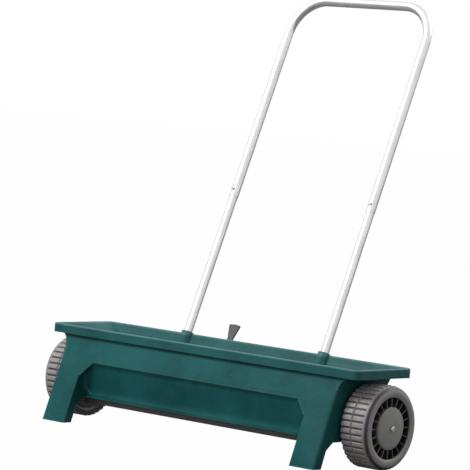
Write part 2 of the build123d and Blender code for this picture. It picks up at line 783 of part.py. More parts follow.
with BuildPart() as left_wheel_liner:
    mirror(right_wheel_liner.part, about=Plane.YZ)
left_wheel_liner.part.label = "left_wheel_liner"
export_step(left_wheel_liner.part, "parts/left_wheel_liner.step")

with BuildPart() as drive_pin:
    with BuildSketch(level(wheel_r - hub_d / 2 + 0.5)):
        with Locations((pin_x, 0)):
            Circle(drive_pin_d / 2)
    extrude(amount=hub_d - 1)
drive_pin.part.label = "drive_pin"
export_step(drive_pin.part, "parts/drive_pin.step")

# Push-on domed caps that keep the wheels on the axle, both fixed to the axle
with BuildPart() as right_axle_cap:
    with BuildSketch(hub_plane(wheel_out + side_gap)):
        Circle(cap_r)
    extrude(amount=axle_end + cap_t)
    fillet(right_axle_cap.edges().filter_by(GeomType.CIRCLE).sort_by(Axis.X)[-1], cap_t + side_gap)
    with BuildSketch(hub_plane(wheel_out + side_gap)):
        Circle(axle_d / 2 + slip_gap)
    extrude(amount=axle_end, mode=Mode.SUBTRACT)
right_axle_cap.part.label = "right_axle_cap"
export_step(right_axle_cap.part, "parts/right_axle_cap.step")

with BuildPart() as left_axle_cap:
    mirror(right_axle_cap.part, about=Plane.YZ)
left_axle_cap.part.label = "left_axle_cap"
export_step(left_axle_cap.part, "parts/left_axle_cap.step")

# Lower handle tubes, from the sockets up into the upper handle
for name, x in (("left_lower_tube", -handle_half), ("right_lower_tube", handle_half)):
    with BuildPart() as lower_tube:
        with BuildSketch(leaning(x, handle_y, rim_z, handle_lean, -socket_deep)):
            Circle(lower_d / 2)
            Circle(lower_d / 2 - tube_wall, mode=Mode.SUBTRACT)
        extrude(amount=socket_deep + lower_top)
        with BuildSketch(facing(x, handle_y, rim_z, handle_lean, button_at)):
            Circle(button_d / 2 + button_hole_gap)
        extrude(amount=-lower_d, mode=Mode.SUBTRACT)
        with BuildSketch(facing(x, handle_y, rim_z, handle_lean, socket_screw_at)):
            Circle(socket_screw_d / 2 + slip_gap)
        extrude(amount=lower_d, mode=Mode.SUBTRACT)
    lower_tube.part.label = name
    export_step(lower_tube.part, f"parts/{name}.step")

# Upper handle, one bent tube that slips over the lower tubes
with BuildPart() as upper_handle:
    with BuildLine(facing(0, handle_y, rim_z, handle_lean)) as bent:
        FilletPolyline(
            (-handle_half, -upper_end),
            (-handle_half, -handle_l),
            (handle_half, -handle_l),
            (handle_half, -upper_end),
            radius=bend_r,
        )
    with BuildSketch(leaning(-handle_half, handle_y, rim_z, handle_lean, upper_end)):
        Circle(upper_d / 2)
        Circle(upper_d / 2 - tube_wall, mode=Mode.SUBTRACT)
    sweep(path=bent.line)
    for x in (-handle_half, handle_half):
        with BuildSketch(facing(x, handle_y, rim_z, handle_lean, button_at)):
            Circle(button_d / 2 + button_hole_gap)
        extrude(amount=-upper_d, mode=Mode.SUBTRACT)
upper_handle.part.label = "upper_handle"
export_step(upper_handle.part, "parts/upper_handle.step")

# Snap buttons that lock the upper handle, each pressed out by a folded leaf inside the tube
for name, x in (("left_snap_button", -handle_half), ("right_snap_button", handle_half)):
    with BuildPart() as snap_button:
        with BuildSketch(facing(x, handle_y, rim_z, handle_lean, button_at, button_seat)):
            Circle(button_flange / 2)
        extrude(amount=button_flange_t)
        with BuildSketch(facing(x, handle_y, rim_z, handle_lean, button_at, button_seat)):
            Circle(button_d / 2)
        extrude(amount=-(upper_d / 2 + button_out - button_seat))
        fillet(snap_button.edges().filter_by(GeomType.CIRCLE).sort_by(Axis.Y)[0], 1.2)
    snap_button.part.label = name
    export_step(snap_button.part, f"parts/{name}.step")

for name, x in (("left_button_spring", -handle_half), ("right_button_spring", handle_half)):
    with BuildPart() as button_spring:
        with BuildSketch(side(x - leaf_w / 2)):
            with BuildLine():
                for first, second in zip(leaf_path[:-1], leaf_path[1:]):
                    Line(first, second)
                Line(leaf_path[-1], leaf_path[0])
            make_face()
        extrude(amount=leaf_w)
    button_spring.part.label = name
    export_step(button_spring.part, f"parts/{name}.step")

# Self-tapping screws through the sockets into the lower tubes
with BuildPart() as socket_screws:
    for x in (-handle_half, handle_half):
        head_at = -(lower_d / 2 + socket_wall)
        with BuildSketch(facing(x, handle_y, rim_z, handle_lean, socket_screw_at, head_at)):
            Circle(socket_screw_d / 2)
        extrude(amount=-(socket_wall + tube_wall + 2))
        with BuildSketch(facing(x, handle_y, rim_z, handle_lean, socket_screw_at, head_at)):
            Circle(socket_screw_head / 2)
        extrude(amount=2.4)
    fillet(socket_screws.edges().filter_by(GeomType.CIRCLE).group_by(Axis.Y)[-1], 1.2)
socket_screws.part.label = "socket_screws"
export_step(socket_screws.part, "parts/socket_screws.step")
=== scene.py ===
"""Lawn drop spreader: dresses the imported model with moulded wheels, drawn tubes and finishes."""

from math import cos, pi, radians, sin, tan

import bmesh
import bpy
import numpy as np
from mathutils import Matrix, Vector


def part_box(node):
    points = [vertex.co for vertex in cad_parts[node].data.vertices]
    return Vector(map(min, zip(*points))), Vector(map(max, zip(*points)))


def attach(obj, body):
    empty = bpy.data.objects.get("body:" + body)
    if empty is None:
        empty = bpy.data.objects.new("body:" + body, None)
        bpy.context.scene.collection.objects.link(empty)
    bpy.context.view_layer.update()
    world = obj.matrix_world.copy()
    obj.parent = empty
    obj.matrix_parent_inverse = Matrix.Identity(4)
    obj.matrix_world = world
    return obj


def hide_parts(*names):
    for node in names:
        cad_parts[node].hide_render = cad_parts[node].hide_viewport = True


bl_info = {
    "name": "Lawn Spreader",
    "version": (1, 0, 0),
    "blender": (4, 5, 0),
    "location": "3D View > Sidebar > Spreader",
    "description": "Builds the visible pieces and finishes of a push-along drop spreader",
    "category": "Object",
}

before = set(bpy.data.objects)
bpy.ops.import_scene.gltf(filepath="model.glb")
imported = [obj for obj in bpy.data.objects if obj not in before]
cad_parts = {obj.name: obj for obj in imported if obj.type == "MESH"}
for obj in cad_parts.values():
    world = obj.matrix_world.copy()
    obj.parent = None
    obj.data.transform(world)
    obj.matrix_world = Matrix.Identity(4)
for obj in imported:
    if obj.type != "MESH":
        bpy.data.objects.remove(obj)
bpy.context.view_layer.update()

# Read from the frame, in metres
axle_low, axle_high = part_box("axle")
wheel_low, wheel_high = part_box("right_wheel")
AXLE_Y = (axle_low.y + axle_high.y) / 2
AXLE_Z = (axle_low.z + axle_high.z) / 2
WHEEL_R = wheel_high.z - AXLE_Z

# Sizes and angles of the CAD model, in metres and radians. x is for the right side
WHEEL_OUT = 0.436  # x of the wheel's outermost point
WHEEL_IN = 0.372  # x of the tyre's inner edge
TUBE_LEAN = radians(21.5)  # handle tubes, back from upright
RIM_Z = 0.200  # top of the hopper's rim
LIP_H = 0.019  # height of the rim's turned-down lip
LEG_OUT = 0.366  # x of a leg's outer face
TOE_Y = -0.153  # y of the front at the ground, from the axle
FRONT_LEAN = radians(19.7)  # the front, back from upright

# Tread: one pitch from groove to groove, as shares of the pitch and of a rib's height
GROOVE = 0.003  # depth of the grooves' bottom below the wheel's radius
PITCH_SHARE = np.array(
    [0.0, 0.05, 0.10, 0.13, 0.16, 0.21, 0.36, 0.50, 0.64, 0.79, 0.84, 0.87, 0.90, 0.95]
)
PITCH_HEIGHT = np.array(
    [0.0, 0.0, 0.08, 0.45, 0.82, 0.96, 1.0, 1.0, 1.0, 0.96, 0.82, 0.45, 0.08, 0.0]
)
# Tyre outline: x from the inner edge, radius above the grooves' bottom, share of a rib's height
TYRE_OUTLINE = np.array([
    # Inner row of ribs
    (0.0, -4.0e-3, 0), (0.0, -1.4e-3, 0.0), (0.1e-3, -0.3e-3, 0.35), (0.6e-3, 0, 0.90),
    (1.6e-3, 0, 1), (6e-3, 0, 1), (12e-3, 0, 1), (18e-3, 0, 1), (21.4e-3, 0, 1),
    (22.4e-3, 0, 0.8), (22.9e-3, 0.2e-3, 0.25),
    # Thin ridge between the rows
    (23.2e-3, 1.2e-3, 0), (23.6e-3, 2.5e-3, 0), (24.2e-3, 3.0e-3, 0), (24.8e-3, 2.5e-3, 0),
    (25.2e-3, 1.2e-3, 0),
    # Outer row of ribs
    (25.6e-3, 0.2e-3, 0.25), (26.2e-3, 0, 0.8), (27.2e-3, 0, 1), (32e-3, 0, 1),
    (38e-3, 0, 1), (44e-3, 0, 1), (48.6e-3, -0.1e-3, 1), (50.0e-3, 0, 0.85),
    (51.0e-3, 0.5e-3, 0.55), (51.8e-3, 1.3e-3, 0.2),
    # Smooth shoulder, rounded down to the spokes
    (52.6e-3, 1.75e-3, 0), (54.2e-3, 1.6e-3, 0), (56.4e-3, 0.7e-3, 0), (58.6e-3, -0.9e-3, 0),
    (60.5e-3, -3.0e-3, 0), (62.0e-3, -5.6e-3, 0), (62.9e-3, -8.4e-3, 0),
    (63.2e-3, -11.2e-3, 0), (62.9e-3, -14.0e-3, 0), (62.0e-3, -16.8e-3, 0),
    (60.9e-3, -18.8e-3, 0), (59.8e-3, -19.9e-3, 0), (58.4e-3, -20.4e-3, 0),
    # Back along the inside
    (50.0e-3, -20.5e-3, 0), (50.0e-3, -16.5e-3, 0), (57.0e-3, -12e-3, 0),
    (53.0e-3, -4.4e-3, 0), (30.0e-3, -4.0e-3, 0),
])

# Hub, in metres
HUB_BORE = 0.0041
BOSS_R = 0.011
BOSS_IN = 0.3698  # x of the boss's inner end
WEB_X = 0.4300  # x of the disc's inner face
DISC_R = 0.043
DISC_WALL = 0.0026  # thickness of the disc's turned-in rim
DOME_INSET = 0.0012  # the dome begins this far inside the disc's edge
DOME_TOP = 0.0006  # the dome ends this far inside WHEEL_OUT
DOME_HEIGHT = 0.0030
DOME_POWER = 2.2  # higher is flatter in the middle
DOME_STEPS = 14
HUB_STEPS = 128
LATHE_RINGS = 5200.0  # radians of the disc's turned rings in a metre of radius

# Spokes: blade as (x, share of half the thickness), and the radii it passes through
SPOKE_IN = 0.4222
SPOKE_OUT = 0.4308
BLADE = np.array([
    (SPOKE_IN, -1.0), (SPOKE_IN, 1.0), (0.4295, 0.72), (0.4304, 0.5),
    (SPOKE_OUT, 0.15), (SPOKE_OUT, -0.15), (0.4304, -0.5), (0.4295, -0.72),
])
SPOKE_REACH = (DISC_R - 0.0008, 0.048, 0.054, 0.0618)

# Gussets under the rim's ends, in metres
GUSSET_W = 0.020
GUSSET_H = 0.026
GUSSET_D = 0.012
GUSSET_TOP = 0.004  # its top lies this far below the rim's
GUSSET_ROOT = 0.0055  # it reaches this far into the leg
GUSSET_SET_BACK = 0.0001  # its front lies this far behind the hopper's
GUSSET_STEPS = 18

# Stage: sizes in metres, lamp power in watts
FLOOR_HALF = 30.0
FLOOR_GAP = 0.0006  # the floor lies this far below the feet
FLOOR_WHITE = 0.992  # share of white that the camera sees on the floor
WORLD_COLOUR = (0.95, 0.97, 1, 1)
WORLD_LIGHT = 0.36
LAMPS = (  # name, place, aim, size, power
    ("key_lamp", (-1.4, -2.6, 3.6), (0, -0.1, 0.3), 1.6, 140.0),
    ("fill_lamp", (0.6, -3.6, 1.2), (0, -0.1, 0.3), 2.4, 12.0),
    ("back_lamp", (1.2, 2.8, 2.6), (0, 0.0, 0.5), 1.6, 40.0),
)

# Camera, fitted to corners seen in the photograph
CAMERA_AZIMUTH = radians(39.4)
CAMERA_HEIGHT = radians(3.0)
CAMERA_ROLL = radians(-4.79)
CAMERA_AIM = (-0.00613, AXLE_Y, 0.42700)
FOCAL_PIXELS = 2904.18  # focal length in pixels of the photograph, at FIT_DISTANCE
PHOTO_PIXELS = 470
FIT_DISTANCE = 6.0
SENSOR = 36.0  # mm


# ---------------------------------------------------------------- properties


class SpreaderWheelSettings(bpy.types.PropertyGroup):
    """Tread, spokes and look of the wheels"""

    ribs: bpy.props.IntProperty(
        name="Tread ribs", description="Ribs in each of the two rows of tread",
        default=40, min=12, max=80,
    )
    rib_height: bpy.props.FloatProperty(
        name="Rib height", description="Height of a tread rib above its groove",
        default=0.003, min=0.001, max=0.004, unit="LENGTH",
    )
    spokes: bpy.props.IntProperty(
        name="Spokes", description="Thin spokes across the open ring", default=20, min=6, max=40
    )
    spoke_thickness: bpy.props.FloatProperty(
        name="Spoke thickness", description="Thickness of one spoke",
        default=0.0018, min=0.001, max=0.004, unit="LENGTH",
    )
    tread_colour: bpy.props.FloatVectorProperty(
        name="Tread colour", description="Colour of the wheel moulding",
        default=(0.285, 0.270, 0.262), size=3, min=0.0, max=1.0, subtype="COLOR",
    )


class SpreaderHopperSettings(bpy.types.PropertyGroup):
    """Look of the hopper moulding"""

    colour: bpy.props.FloatVectorProperty(
        name="Hopper colour", description="Main colour of the hopper moulding",
        default=(0.0022, 0.080, 0.081), size=3, min=0.0, max=1.0, subtype="COLOR",
    )
    # Paler colour for the specks, the edges (partly rubbed wear, partly painted highlight) and the
    # painted highlight on the rim
    edge_and_highlight_colour: bpy.props.FloatVectorProperty(
        name="Edge colour", description="Paler colour of the rubbed edges",
        default=(0.130, 0.290, 0.300), size=3, min=0.0, max=1.0, subtype="COLOR",
    )


class SpreaderHandleSettings(bpy.types.PropertyGroup):
    """Look of the handle tubes"""

    metal_colour: bpy.props.FloatVectorProperty(
        name="Tube colour", description="Colour of the bright drawn tube",
        default=(0.80, 0.80, 0.81), size=3, min=0.0, max=1.0, subtype="COLOR",
    )


class SpreaderStageSettings(bpy.types.PropertyGroup):
    """Floor and camera"""

    floor_colour: bpy.props.FloatVectorProperty(
        name="Floor colour", description="Colour of the plain floor",
        default=(0.26, 0.26, 0.26), size=3, min=0.0, max=1.0, subtype="COLOR",
    )
    camera_distance: bpy.props.FloatProperty(
        name="Camera distance", description="Distance of the camera from the middle of the machine",
        default=6.0, min=2.0, max=20.0, unit="LENGTH",
    )


# ---------------------------------------------------------------- meshes


def grid_faces(rows, columns, wrap_rows, wrap_columns):
    """Corner numbers of the quads of a grid. The point in row i and column j has the number i times
    columns plus j, and a quad goes from it to the next row, the next column there and back. The
    last row or column is followed by the first where it is wrapped."""
    i = np.arange(rows if wrap_rows else rows - 1)
    j = np.arange(columns if wrap_columns else columns - 1)
    i, j = np.meshgrid(i, j, indexing="ij")
    a = i * columns + j
    b = ((i + 1) % rows) * columns + j
    c = ((i + 1) % rows) * columns + (j + 1) % columns
    d = i * columns + (j + 1) % columns
    return np.stack([a, b, c, d], -1).reshape(-1, 4)


def mesh_object(name, parts, smooth_angle):
    """One smooth object from several (points, faces) arrays, with sharp edges past the angle. The
    points follow each other, and each part's corner numbers are raised by the points before it."""
    points = np.concatenate([p.reshape(-1, 3) for p, _ in parts])
    faces, first = [], 0
    for p, f in parts:
        faces.append(f + first)
        first += p.reshape(-1, 3).shape[0]
    faces = np.concatenate(faces)
    mesh = bpy.data.meshes.new(name)
    mesh.vertices.add(len(points))
    mesh.vertices.foreach_set("co", points.astype(np.float32).ravel())
    mesh.loops.add(faces.size)
    mesh.loops.foreach_set("vertex_index", faces.astype(np.int32).ravel())
    mesh.polygons.add(len(faces))
    starts = np.arange(0, faces.size, faces.shape[1], dtype=np.int32)
    mesh.polygons.foreach_set("loop_start", starts)
    mesh.update(calc_edges=True)
    tidy = bmesh.new()
    tidy.from_mesh(mesh)
    bmesh.ops.remove_doubles(tidy, verts=tidy.verts, dist=1e-7)
    bmesh.ops.recalc_face_normals(tidy, faces=tidy.faces)
    tidy.to_mesh(mesh)
    tidy.free()
    mesh.polygons.foreach_set("use_smooth", np.ones(len(mesh.polygons), bool))
    mesh.set_sharp_from_angle(angle=smooth_angle)
    piece = bpy.data.objects.new(name, mesh)
    bpy.context.scene.collection.objects.link(piece)
    return piece


def resurfaced(node, name, smooth_angle):
    """A merged copy of a frame node that shades smoothly, with large faces leading the shading."""
    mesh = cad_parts[node].data.copy()
    mesh.name = name
    mesh.materials.clear()
    tidy = bmesh.new()
    tidy.from_mesh(mesh)
    bmesh.ops.remove_doubles(tidy, verts=tidy.verts, dist=2e-6)
    tidy.to_mesh(mesh)
    tidy.free()
    mesh.polygons.foreach_set("use_smooth", np.ones(len(mesh.polygons), bool))
    mesh.set_sharp_from_angle(angle=smooth_angle)
    piece = bpy.data.objects.new(name, mesh)
    bpy.context.scene.collection.objects.link(piece)
    weighted = piece.modifiers.new("flat_faces_first", "WEIGHTED_NORMAL")
    weighted.keep_sharp = True
    weighted.weight = 90
    return piece


def turned(profile, angles, side, lift=None):
    """A closed profile of (x, r) carried round the axle on one side of the machine. At angle a, y
    is the axle's y plus r times the cosine of a, z is the axle's z plus r times the sine of a, and
    x is turned over for the left side. lift is added to r, by angle and profile point."""
    r = np.broadcast_to(profile[:, 1], (len(angles), len(profile)))
    if lift is not None:
        r = r + lift
    a = angles[:, None]
    x = np.broadcast_to(profile[:, 0], r.shape) * side
    return np.stack([x, AXLE_Y + r * np.cos(a), AXLE_Z + r * np.sin(a)], -1)


def tyre_tread(ribs, height):
    """Profile, angles and lift of the tyre. Each rib's pitch is one full turn divided by the
    number of ribs, with angles at PITCH_SHARE of it. The lift is the pitch's height at the angle,
    times the ribs' share at the profile point, times the rib height."""
    angles = (np.arange(ribs)[:, None] + PITCH_SHARE[None]).ravel() * 2 * pi / ribs
    profile = np.stack([TYRE_OUTLINE[:, 0] + WHEEL_IN, WHEEL_R - GROOVE + TYRE_OUTLINE[:, 1]], -1)
    lift = np.tile(PITCH_HEIGHT, ribs)[:, None] * TYRE_OUTLINE[None, :, 2] * height
    return profile, angles, lift


def hub_profile():
    """Profile of the hub as (x, r): boss, web, turned-in rim and dome. Along the dome, s falls
    from 1 at the rim to 0 at the bore, r is the bore plus s times the way to the rim, and x lies
    back from the top by the dome's height times s to the power DOME_POWER."""
    s = np.linspace(1, 0, DOME_STEPS)[:, None]
    dome_r = HUB_BORE + (DISC_R - DOME_INSET - HUB_BORE) * s
    dome_x = WHEEL_OUT - DOME_TOP - DOME_HEIGHT * s**DOME_POWER
    wall = DISC_R - DISC_WALL
    back = [
        (BOSS_IN, HUB_BORE), (BOSS_IN, BOSS_R), (WEB_X, BOSS_R), (WEB_X, wall),
        (SPOKE_IN, wall), (SPOKE_IN, DISC_R), (SPOKE_OUT, DISC_R),
        (SPOKE_OUT + 0.0009, DISC_R - 0.0003),
    ]
    return np.concatenate([back, np.concatenate([dome_x, dome_r], 1)])


def spoke_blades(count, thickness, side):
    """(points, faces) of each spoke, a closed blade from the disc to the tyre. A point at
    distance r along the spoke and t across it, on a spoke at angle a, has its y at r times the
    cosine minus t times the sine of a, and its z at r times the sine plus t times the cosine."""
    a = (np.arange(count) * 2 * pi / count)[:, None, None]
    r, t = np.array(SPOKE_REACH)[None, :, None], BLADE[None, None, :, 1] * (thickness / 2)
    y = AXLE_Y + r * np.cos(a) - t * np.sin(a)
    z = AXLE_Z + r * np.sin(a) + t * np.cos(a)
    x = np.broadcast_to(BLADE[None, None, :, 0], y.shape) * side
    points = np.stack([x, y, z], -1)
    rows, columns = y.shape[1:]
    end = np.array([[0, 1, 2, 7], [2, 3, 6, 7], [3, 4, 5, 6]])
    sides = grid_faces(rows, columns, False, True)
    faces = np.concatenate([sides, end, end + (rows - 1) * columns])
    return [(blade, faces) for blade in points]


def rim_gusset(side):
    """(points, faces) of the curved gusset between a leg's outer edge and the rim's end. Its edge
    is a quarter ellipse: with t from 0 to a quarter turn, x is the leg's outer face plus the width
    less the width times the cosine of t, and z is the foot of the gusset plus its height times the
    sine of t. Its front face follows the leaning front: y grows by z times the lean's tangent."""
    low = RIM_Z - LIP_H - GUSSET_H
    t = np.linspace(0, pi / 2, GUSSET_STEPS)
    x = np.append(LEG_OUT + GUSSET_W - GUSSET_W * np.cos(t), LEG_OUT + GUSSET_W)
    z = np.append(low + GUSSET_H * np.sin(t), RIM_Z - GUSSET_TOP)
    front = AXLE_Y + TOE_Y + z * tan(FRONT_LEAN) + GUSSET_SET_BACK
    rear = front + GUSSET_D
    inner = np.full_like(x, LEG_OUT - GUSSET_ROOT)
    rings = np.stack([
        np.stack([inner * side, front, z], -1), np.stack([x * side, front, z], -1),
        np.stack([x * side, rear, z], -1), np.stack([inner * side, rear, z], -1),
    ], 1)
    last = 4 * (len(x) - 1)
    ends = np.array([[0, 1, 2, 3], [last, last + 1, last + 2, last + 3]])
    return rings, np.concatenate([grid_faces(len(x), 4, False, True), ends])


def standing(place, right, up, back):
    """Matrix of an object at place whose x, y and z axes point along right, up and back."""
    turn = Matrix([list(right), list(up), list(back)]).transposed().to_4x4()
    return Matrix.Translation(place) @ turn


# ---------------------------------------------------------------- finishes


def finish(name):
    """A new material with its node tree, its shader and a coordinate socket."""
    material = bpy.data.materials.new(name)
    material.use_nodes = True
    tree = material.node_tree
    shader = tree.nodes["Principled BSDF"]
    place = tree.nodes.new("ShaderNodeTexCoord").outputs["Object"]
    return material, tree, shader, place


def grain(tree, place, scale, detail=4.0, roughness=0.55, stretch=(1, 1, 1), turn=(0, 0, 0)):
    """Noise in object coordinates, turned and stretched, as a 0 to 1 socket."""
    mapping = tree.nodes.new("ShaderNodeMapping")
    mapping.inputs["Scale"].default_value = stretch
    mapping.inputs["Rotation"].default_value = turn
    tree.links.new(place, mapping.inputs["Vector"])
    noise = tree.nodes.new("ShaderNodeTexNoise")
    noise.inputs["Scale"].default_value = scale
    noise.inputs["Detail"].default_value = detail
    noise.inputs["Roughness"].default_value = roughness
    tree.links.new(mapping.outputs["Vector"], noise.inputs["Vector"])
    return noise.outputs["Fac"]


def spread(tree, socket, low, high, out_low, out_high):
    """Maps a socket's range low..high to out_low..out_high, held at the ends."""
    node = tree.nodes.new("ShaderNodeMapRange")
    node.inputs["From Min"].default_value = low
    node.inputs["From Max"].default_value = high
    node.inputs["To Min"].default_value = out_low
    node.inputs["To Max"].default_value = out_high
    tree.links.new(socket, node.inputs["Value"])
    return node.outputs["Result"]


def blend_colour(tree, amount, first, second, mode="MIX"):
    """Mixes two colours, each a socket or a plain value, by a socket."""
    node = tree.nodes.new("ShaderNodeMix")
    node.data_type = "RGBA"
    node.blend_type = mode
    tree.links.new(amount, node.inputs["Factor"])
    for key, value in (("A", first), ("B", second)):
        socket = next(s for s in node.inputs if s.name == key and s.type == "RGBA")
        if isinstance(value, bpy.types.NodeSocket):
            tree.links.new(value, socket)
        else:
            socket.default_value = (*value, 1.0)
    return next(s for s in node.outputs if s.type == "RGBA")


def arithmetic(tree, operation, *values):
    """One step of node arithmetic on values that are sockets or plain numbers."""
    node = tree.nodes.new("ShaderNodeMath")
    node.operation = operation
    for socket, value in zip(node.inputs, values):
        if isinstance(value, bpy.types.NodeSocket):
            tree.links.new(value, socket)
        else:
            socket.default_value = value
    return node.outputs["Value"]


def rough_relief(tree, shader, *layers, soft_edge=0.0):
    """Chains bumps of (height socket, depth in metres) into the shader's normal, over edges that
    look rounded by soft_edge."""
    normal = None
    if soft_edge:
        edge = tree.nodes.new("ShaderNodeBevel")
        edge.samples = 6
        edge.inputs["Radius"].default_value = soft_edge
        normal = edge.outputs["Normal"]
    for height, depth in layers:
        bump = tree.nodes.new("ShaderNodeBump")
        bump.inputs["Strength"].default_value = 1.0
        bump.inputs["Distance"].default_value = depth
        tree.links.new(height, bump.inputs["Height"])
        if normal is not None:
            tree.links.new(normal, bump.inputs["Normal"])
        normal = bump.outputs["Normal"]
    tree.links.new(normal, shader.inputs["Normal"])


def edge_mask(tree, radius):
    """0 on flat faces and 1 at edges, by how far the rounded normal turns from the true one."""
    edge = tree.nodes.new("ShaderNodeBevel")
    edge.samples = 6
    edge.inputs["Radius"].default_value = radius
    geometry = tree.nodes.new("ShaderNodeNewGeometry")
    dot = tree.nodes.new("ShaderNodeVectorMath")
    dot.operation = "DOT_PRODUCT"
    tree.links.new(edge.outputs["Normal"], dot.inputs[0])
    tree.links.new(geometry.outputs["Normal"], dot.inputs[1])
    return spread(tree, dot.outputs["Value"], 0.995, 0.80, 0.0, 1.0)


def axle_distance(tree, place):
    """Distance from the axle line in metres."""
    mapping = tree.nodes.new("ShaderNodeMapping")
    mapping.inputs["Location"].default_value = (0, -AXLE_Y, -AXLE_Z)
    mapping.inputs["Scale"].default_value = (0, 1, 1)
    tree.links.new(place, mapping.inputs["Vector"])
    length = tree.nodes.new("ShaderNodeVectorMath")
    length.operation = "LENGTH"
    tree.links.new(mapping.outputs["Vector"], length.inputs[0])
    return length.outputs["Value"]


def hopper_green(colour, edge_and_highlight_colour):
    """Moulded green plastic: mottled colour, fine grain, faint flow marks, pale edges that are
    partly rubbed wear and partly painted highlight, and a painted highlight along the rim's top and
    lip.
    """
    material, tree, shader, place = finish("hopper_green_plastic")
    cloud = grain(tree, place, 9.0, 5.0, 0.6)
    speck = grain(tree, place, 520.0, 3.0, 0.7)
    flow = grain(tree, place, 14.0, 3.0, 0.5, stretch=(0.25, 1, 3))
    dark = tuple(v * 0.78 for v in colour)
    light = tuple(min(1.0, v * 1.22 + 0.004) for v in colour)
    body = blend_colour(tree, spread(tree, cloud, 0.35, 0.65, 0, 1), dark, light)
    body = blend_colour(tree, spread(tree, speck, 0.54, 0.72, 0, 0.22), body, edge_and_highlight_colour)
    # Paler edges, partly rubbed wear and partly painted highlight on the lit edges
    patches = spread(tree, cloud, 0.3, 0.6, 0.45, 0.95)
    worn = arithmetic(tree, "MULTIPLY", edge_mask(tree, 0.0030), patches)
    body = blend_colour(tree, worn, body, edge_and_highlight_colour)
    # Painted highlight: the rim's top edge is painted pale, and its lip a little
    height = tree.nodes.new("ShaderNodeSeparateXYZ")
    tree.links.new(place, height.inputs["Vector"])
    lip = spread(tree, height.outputs["Z"], RIM_Z - LIP_H, RIM_Z - LIP_H + 0.0025, 0.0, 0.12)
    top = spread(tree, height.outputs["Z"], RIM_Z - 0.0042, RIM_Z - 0.0012, 0.0, 0.55)
    patches = spread(tree, cloud, 0.3, 0.6, 0.6, 1.0)
    painted_rim_highlight = arithmetic(tree, "MULTIPLY", arithmetic(tree, "ADD", lip, top), patches)
    body = blend_colour(tree, painted_rim_highlight, body, edge_and_highlight_colour)
    tree.links.new(body, shader.inputs["Base Color"])
    tree.links.new(spread(tree, flow, 0.3, 0.7, 0.36, 0.50), shader.inputs["Roughness"])
    shader.inputs["Specular IOR Level"].default_value = 0.16
    rough_relief(tree, shader, (speck, 0.00022), (flow, 0.0006), soft_edge=0.0018)
    return material


def wheel_grey(colour):
    """Grey-brown wheel plastic: grooves darkened with painted shade, paler crowns scuffed by the
    ground, painted shade on the inside behind the spokes, and fine grain. The zones are rings about
    the axle, counted in from the tread."""
    material, tree, shader, place = finish("wheel_grey_plastic")
    radius = axle_distance(tree, place)
    cloud = grain(tree, place, 30.0, 5.0, 0.6)
    speck = grain(tree, place, 700.0, 3.0, 0.7)
    scuff = grain(tree, place, 160.0, 6.0, 0.75)
    # The darkest two of these are painted shade: one for the grooves, one for the inside behind the
    # spokes
    dark, pale, painted_shade_colour = (tuple(min(1.0, v * share) for v in colour) for share in (0.08, 1.9, 0.06))
    warm = (colour[0] * 1.05, colour[1] * 0.98, colour[2] * 0.90)
    cool = (colour[0] * 1.12, colour[1] * 1.08, colour[2] * 1.22)
    body = blend_colour(tree, spread(tree, cloud, 0.35, 0.65, 0, 1), warm, cool)
    # Grooves: painted shade, dark from just under the crowns to 6 mm in, fading out by 9 mm
    groove = spread(tree, radius, WHEEL_R - 0.0033, WHEEL_R - 0.0012, 0.0, 1.0)
    outside = spread(tree, radius, WHEEL_R - 0.0090, WHEEL_R - 0.0060, 0.0, 1.0)
    depth = arithmetic(tree, "MULTIPLY", outside, arithmetic(tree, "SUBTRACT", 1.0, groove))
    body = blend_colour(tree, depth, body, dark)
    # Crowns: the last 0.6 mm, in patches
    crown = spread(tree, radius, WHEEL_R - 0.0006, WHEEL_R, 0, 1)
    scuffed = arithmetic(tree, "MULTIPLY", crown, spread(tree, scuff, 0.5, 0.68, 0, 0.6))
    body = blend_colour(tree, scuffed, body, pale)
    body = blend_colour(tree, spread(tree, speck, 0.6, 0.78, 0, 0.3), body, pale)
    # Painted shade on the inside of the tyre, behind the spokes
    inside = spread(tree, radius, WHEEL_R - 0.0232, WHEEL_R - 0.0222, 1.0, 0.0)
    body = blend_colour(tree, inside, body, painted_shade_colour)
    tree.links.new(body, shader.inputs["Base Color"])
    tree.links.new(spread(tree, cloud, 0.3, 0.7, 0.40, 0.56), shader.inputs["Roughness"])
    rough_relief(tree, shader, (speck, 0.00010), (scuff, 0.00012))
    return material


